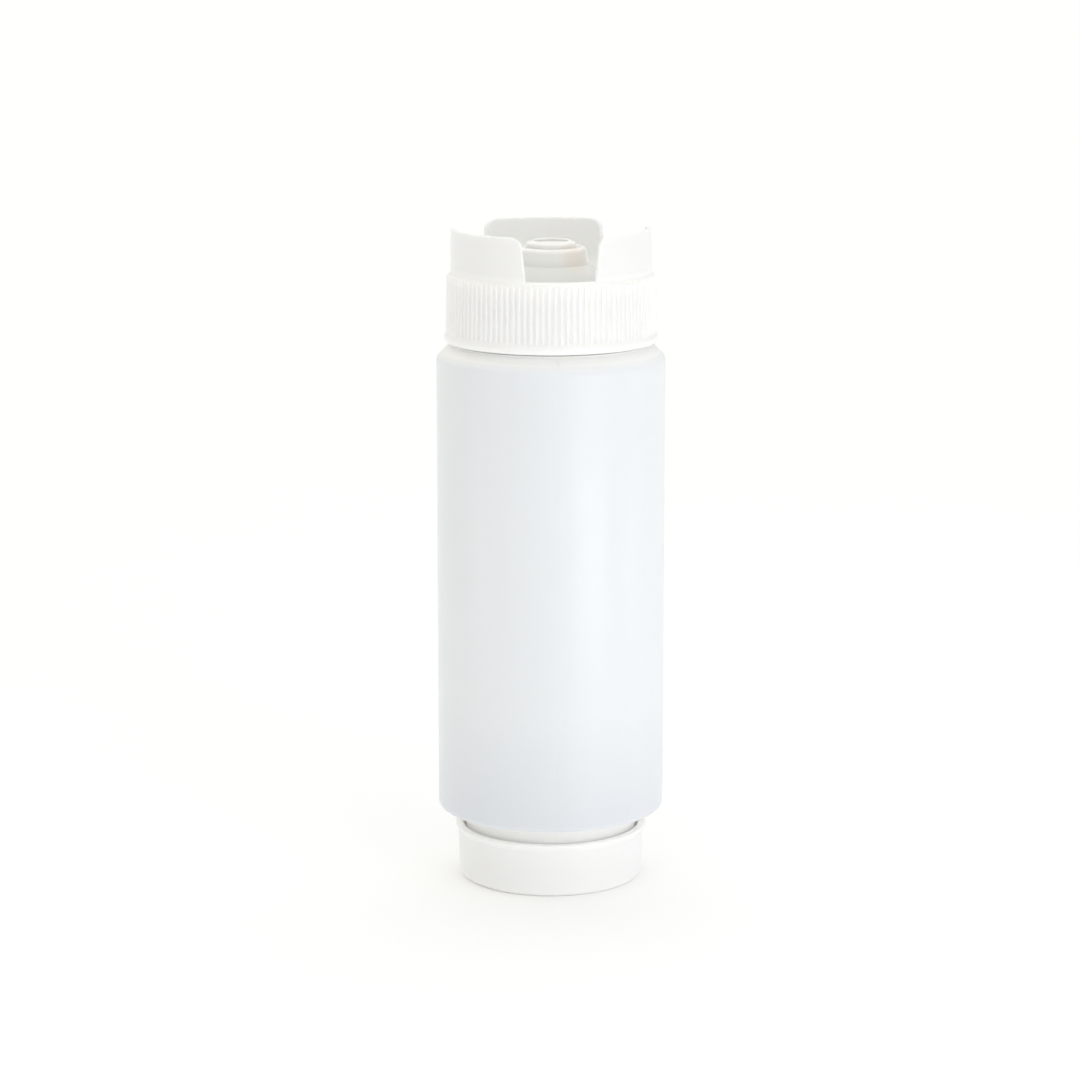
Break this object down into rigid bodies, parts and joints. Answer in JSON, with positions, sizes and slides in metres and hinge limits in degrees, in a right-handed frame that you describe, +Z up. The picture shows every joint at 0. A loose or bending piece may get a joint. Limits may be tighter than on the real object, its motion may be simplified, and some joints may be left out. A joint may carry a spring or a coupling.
{
  "type": "squeeze bottle",
  "caption": "Two-ended translucent squeeze bottle standing on its smooth refill cap, with a ribbed dispensing cap whose tabbed crown guards a valved nozzle.",
  "frame": {"origin": "centre of the flat base of the refill cap, on which the bottle stands", "axes": "+Z up along the bottle's axis towards the nozzle; -Y towards the front gap of the crown"},
  "size_m": [0.0666, 0.0666, 0.1933],
  "materials": {
    "body_plastic": "satin translucent natural polyethylene",
    "cap_plastic": "semi-gloss natural white polyethylene",
    "valve_silicone": "smooth milky silicone",
    "refill_plastic": "semi-gloss natural white polyethylene"
  },
  "bodies": {
    "root": {"bottle": "body_plastic", "crown_cap": "cap_plastic", "valve": "valve_silicone", "refill_cap": "refill_plastic"}
  },
  "joints": []
}
